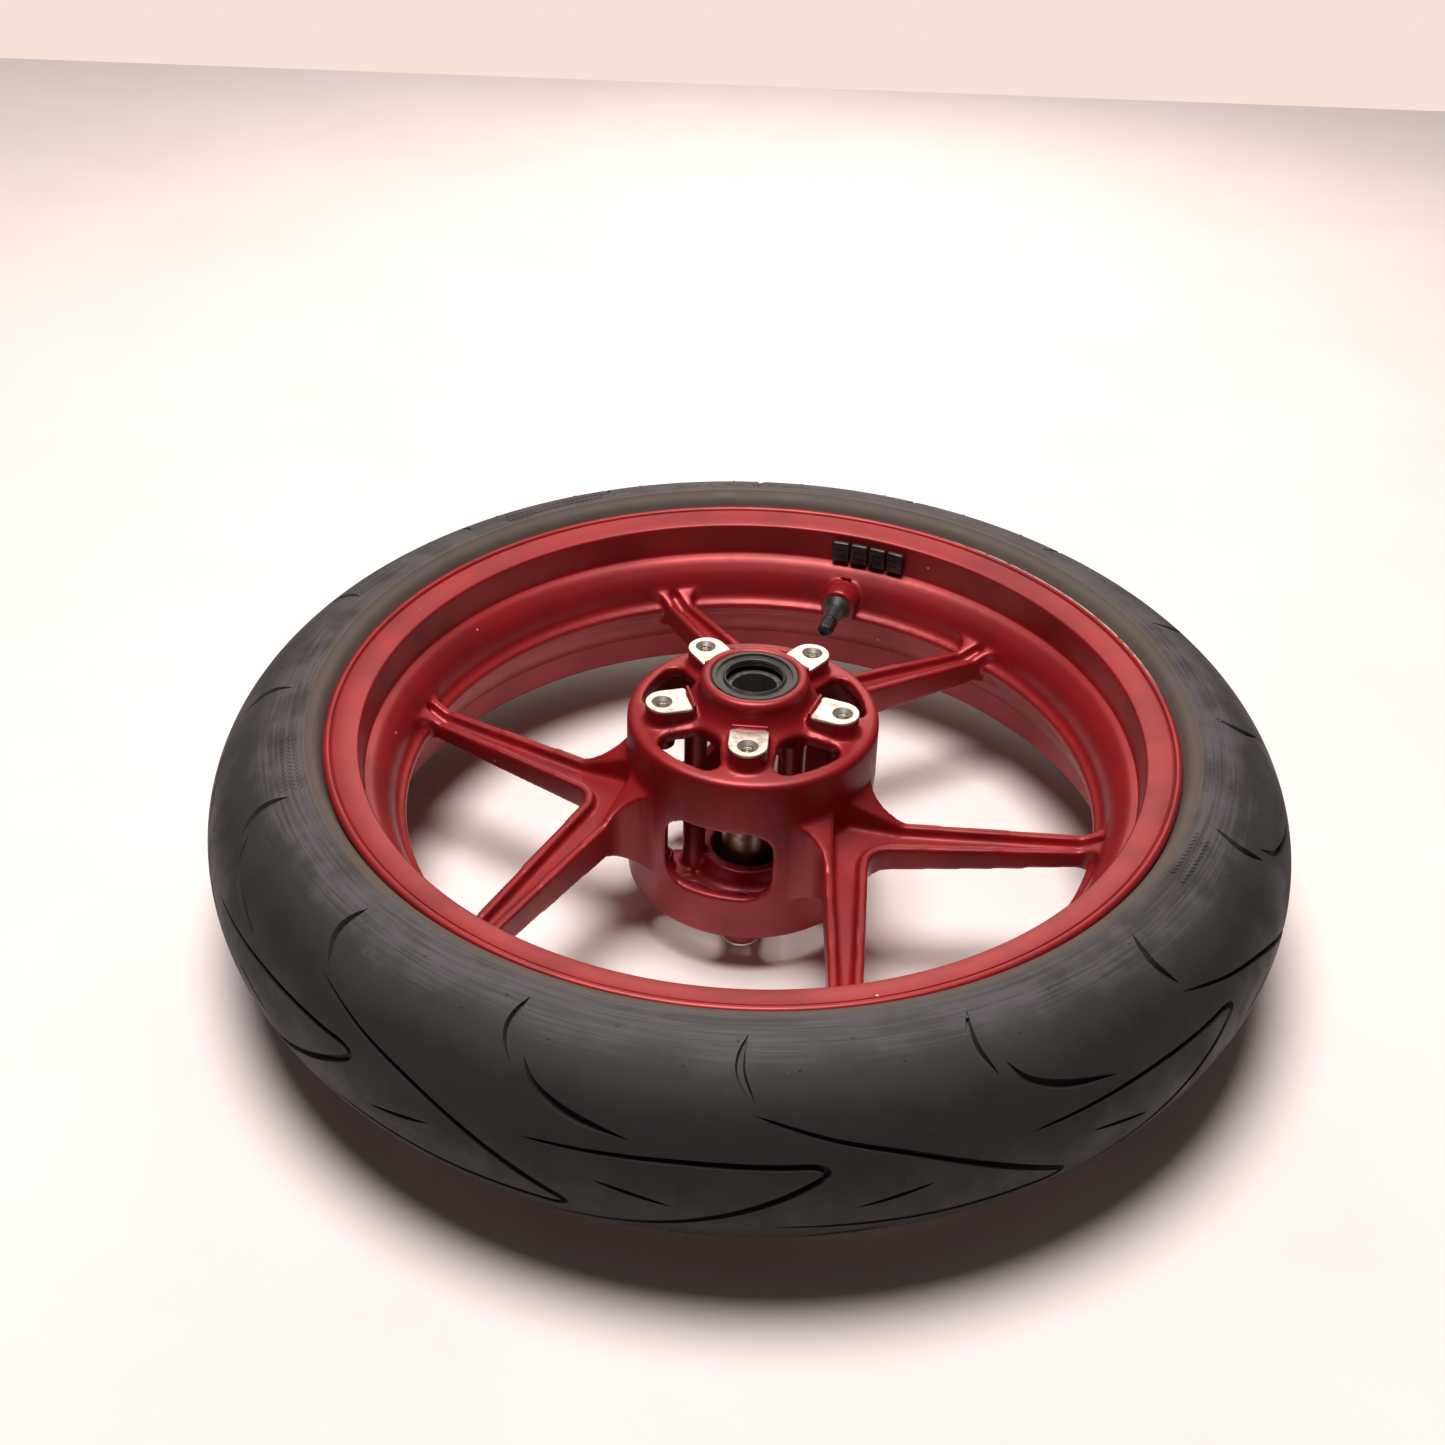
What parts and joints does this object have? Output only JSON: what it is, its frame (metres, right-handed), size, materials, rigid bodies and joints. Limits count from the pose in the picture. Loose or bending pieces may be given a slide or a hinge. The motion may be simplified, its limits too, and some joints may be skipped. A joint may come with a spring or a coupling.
{
  "type": "motorcycle front wheel",
  "caption": "Cast front wheel with forked Y spokes, a wide low-profile tyre, an open hub with disc seats on both faces, sealed bearings and a rubber valve.",
  "frame": {"origin": "the wheel's centre: on the axle's axis, midway between the two faces of the hub", "axes": "+Z along the axle's axis, so the wheel lies on its side; the tyre valve's direction is 74 degrees from +X towards +Y"},
  "size_m": [0.5928, 0.5928, 0.1538],
  "materials": {
    "red_casting": "satin metallic red paint on cast aluminium, disc seats machined bare",
    "tyre_rubber": "worn, dusty matt rubber",
    "weight_lead": "black coated stick-on weights",
    "steel_tube": "turned steel tube",
    "spring_steel": "oiled spring steel",
    "bearing_steel": "ground bearing steel",
    "cage_steel": "pressed steel",
    "seal_rubber": "moulded black nitrile rubber",
    "valve_rubber": "black rubber",
    "brass": "turned brass",
    "cap_plastic": "moulded black plastic"
  },
  "bodies": {
    "wheel": {"wheel_casting": "red_casting", "tyre": "tyre_rubber", "upper_bearing_outer_race": "bearing_steel", "upper_bearing_shields": "cage_steel", "upper_dust_seal": "seal_rubber", "upper_seal_spring": "spring_steel", "lower_bearing_outer_race": "bearing_steel", "lower_bearing_shields": "cage_steel", "lower_dust_seal": "seal_rubber", "lower_seal_spring": "spring_steel", "retaining_ring": "spring_steel", "valve_body": "valve_rubber", "valve_stem": "brass", "valve_core": "brass", "valve_core_spring": "spring_steel", "balance_weights": "weight_lead"},
    "axle_sleeve": {"upper_bearing_inner_race": "bearing_steel", "distance_collar": "steel_tube", "lower_bearing_inner_race": "bearing_steel"},
    "upper_ball_set": {"upper_bearing_balls": "bearing_steel", "upper_bearing_cage": "cage_steel"},
    "lower_ball_set": {"lower_bearing_balls": "bearing_steel", "lower_bearing_cage": "cage_steel"},
    "valve_pin": {"valve_pin": "brass"},
    "valve_cap": {"valve_cap": "cap_plastic"}
  },
  "joints": [
    {"name": "axle_spin", "type": "hinge", "parent": "wheel", "child": "axle_sleeve", "pos_m": [0, 0, 0], "axis": [0, 0, 1], "continuous": true},
    {"name": "upper_ball_orbit", "type": "hinge", "parent": "wheel", "child": "upper_ball_set", "pos_m": [0, 0, 0], "axis": [0, 0, 1], "continuous": true},
    {"name": "lower_ball_orbit", "type": "hinge", "parent": "wheel", "child": "lower_ball_set", "pos_m": [0, 0, 0], "axis": [0, 0, 1], "continuous": true},
    {"name": "valve_pin_press", "type": "slide", "parent": "wheel", "child": "valve_pin", "axis": [0.2756, 0.9613, 0], "range_m": [0, 0.0012], "stiffness_N_per_m": 150, "springref_m": -0.0004},
    {"name": "valve_cap_off", "type": "slide", "parent": "wheel", "child": "valve_cap", "axis": [-0.2756, -0.9613, 0], "range_m": [0, 0.014]}
  ],
  "couplings": [
    {"joint": "upper_ball_orbit", "follows": "axle_spin", "ratio": 0.4},
    {"joint": "lower_ball_orbit", "follows": "axle_spin", "ratio": 0.4}
  ]
}
